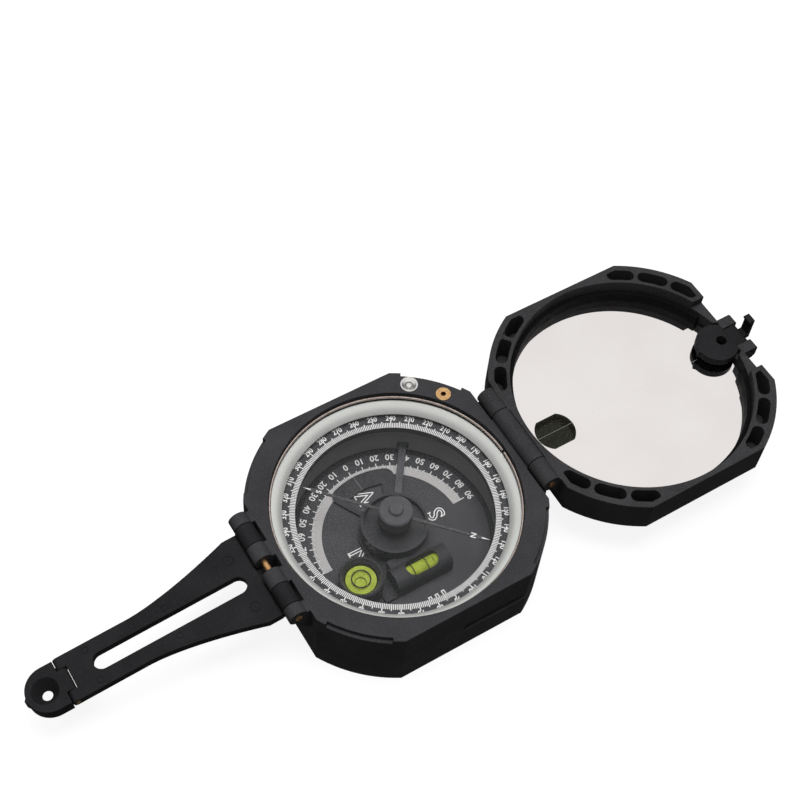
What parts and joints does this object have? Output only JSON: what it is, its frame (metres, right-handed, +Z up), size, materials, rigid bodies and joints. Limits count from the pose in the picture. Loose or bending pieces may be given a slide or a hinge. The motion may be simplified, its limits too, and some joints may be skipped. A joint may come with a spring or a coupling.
{
  "type": "pocket transit geology compass",
  "caption": "Pocket transit compass for field geology: damped needle over a dial, clinometer with spirit levels, hinged sighting arm and a hinged lid with a mirror",
  "frame": {"origin": "on the dial axis, at the underside of the case, which stands on the surface", "axes": "+Z is up along the dial axis, +Y points from the dial to the long sight arm, -Y to the open lid, +X to the side away from the tube level; at rest the lid and the arm lie open"},
  "size_m": [0.07, 0.2209, 0.0256],
  "materials": {
    "black_paint": "fine satin black coating",
    "black_plastic": "satin black",
    "gloss_black": "glossy black",
    "dial_grey": "matt dark grey with white print",
    "light_grey": "light grey",
    "rubber": "black",
    "clear_glass": "clear",
    "vial_glass": "clear, tinted by the liquid",
    "liquid": "yellow-green spirit",
    "dark_glass": "smoked",
    "mirror": "polished",
    "steel": "bright",
    "wire": "bright wire",
    "chrome": "polished",
    "brass": "turned",
    "copper": "turned disc",
    "magnet": "dull",
    "jewel": "polished"
  },
  "bodies": {
    "case": {"case_body": "black_paint", "dial_plate": "dial_grey", "bezel_ring": "light_grey", "glass_gasket": "rubber", "glass_cover": "clear_glass", "retaining_wire": "wire", "lift_pin_bush": "chrome", "lift_spring": "steel", "lever_axle": "steel", "clinometer_bush": "brass", "arm_hinge_pin": "brass", "lid_hinge_pin": "brass"},
    "dial_ring": {"graduated_ring": "dial_grey"},
    "adjuster": {"adjuster_pinion": "brass", "adjuster_screw": "brass"},
    "clinometer": {"clinometer_frame": "gloss_black", "damping_disc": "copper", "needle_pivot": "steel", "clinometer_shaft": "steel", "clinometer_lever": "black_plastic", "lever_screw": "brass", "round_vial": "vial_glass", "round_fluid": "liquid", "tube_vial": "vial_glass", "tube_fluid": "liquid", "tube_plug": "gloss_black"},
    "pin": {"lift_pin": "chrome"},
    "lever": {"lift_lever": "steel"},
    "sleeve": {"lift_sleeve": "steel"},
    "needle": {"needle_blade": "magnet", "needle_hub": "gloss_black", "needle_magnet": "magnet", "needle_jewel": "jewel"},
    "arm": {"long_sight_arm": "black_plastic", "tip_hinge_pin": "brass"},
    "arm_sight": {"peep_sight": "black_plastic"},
    "lid": {"lid_shell": "black_paint", "mirror": "mirror", "mirror_retainer": "black_plastic", "window_glass": "clear_glass", "window_pane": "dark_glass", "label_plate": "black_plastic", "small_sight_pin": "brass"},
    "lid_sight": {"small_sight": "black_plastic"}
  },
  "joints": [
    {"name": "lid_hinge", "type": "hinge", "parent": "case", "child": "lid", "pos_m": [0, -0.0376, 0.023], "axis": [-1, 0, 0], "range_deg": [0, 180]},
    {"name": "arm_hinge", "type": "hinge", "parent": "case", "child": "arm", "pos_m": [0, 0.038, 0.0215], "axis": [1, 0, 0], "range_deg": [0, 184.5]},
    {"name": "arm_sight_hinge", "type": "hinge", "parent": "arm", "child": "arm_sight", "pos_m": [0, 0.09334, 0.01469], "axis": [-1, 0, 0], "range_deg": [-90, 0]},
    {"name": "lid_sight_hinge", "type": "hinge", "parent": "lid", "child": "lid_sight", "pos_m": [0, -0.113, 0.0183], "axis": [-1, 0, 0], "range_deg": [-90, 0]},
    {"name": "clinometer_turn", "type": "hinge", "parent": "case", "child": "clinometer", "pos_m": [0, 0, 0.002], "axis": [0, 0, 1], "range_deg": [-90, 90]},
    {"name": "dial_ring_turn", "type": "hinge", "parent": "case", "child": "dial_ring", "pos_m": [0, 0, 0.0153], "axis": [0, 0, 1], "continuous": true},
    {"name": "adjuster_turn", "type": "hinge", "parent": "case", "child": "adjuster", "pos_m": [0.02197, -0.02788, 0.018], "axis": [0, 0, 1], "continuous": true},
    {"name": "lift_press", "type": "slide", "parent": "case", "child": "pin", "axis": [0, 0, -1], "range_m": [0, 0.00045], "stiffness_N_per_m": 300, "springref_m": -0.0015, "deforming": ["lift_spring"]},
    {"name": "lever_tilt", "type": "hinge", "parent": "case", "child": "lever", "pos_m": [0.02297, -0.01687, 0.00455], "axis": [0.592, 0.8059, 0], "range_deg": [0, 3.5]},
    {"name": "sleeve_lift", "type": "slide", "parent": "case", "child": "sleeve", "axis": [0, 0, 1], "range_m": [0, 0.00166]},
    {"name": "needle_turn", "type": "hinge", "parent": "sleeve", "child": "needle", "pos_m": [0, 0, 0.015], "axis": [0, 0, 1], "continuous": true}
  ],
  "couplings": [
    {"joint": "adjuster_turn", "follows": "dial_ring_turn", "ratio": -11.25},
    {"joint": "lever_tilt", "follows": "lift_press", "rad_per_m": 129.87},
    {"joint": "sleeve_lift", "follows": "lift_press", "ratio": 3.55}
  ]
}
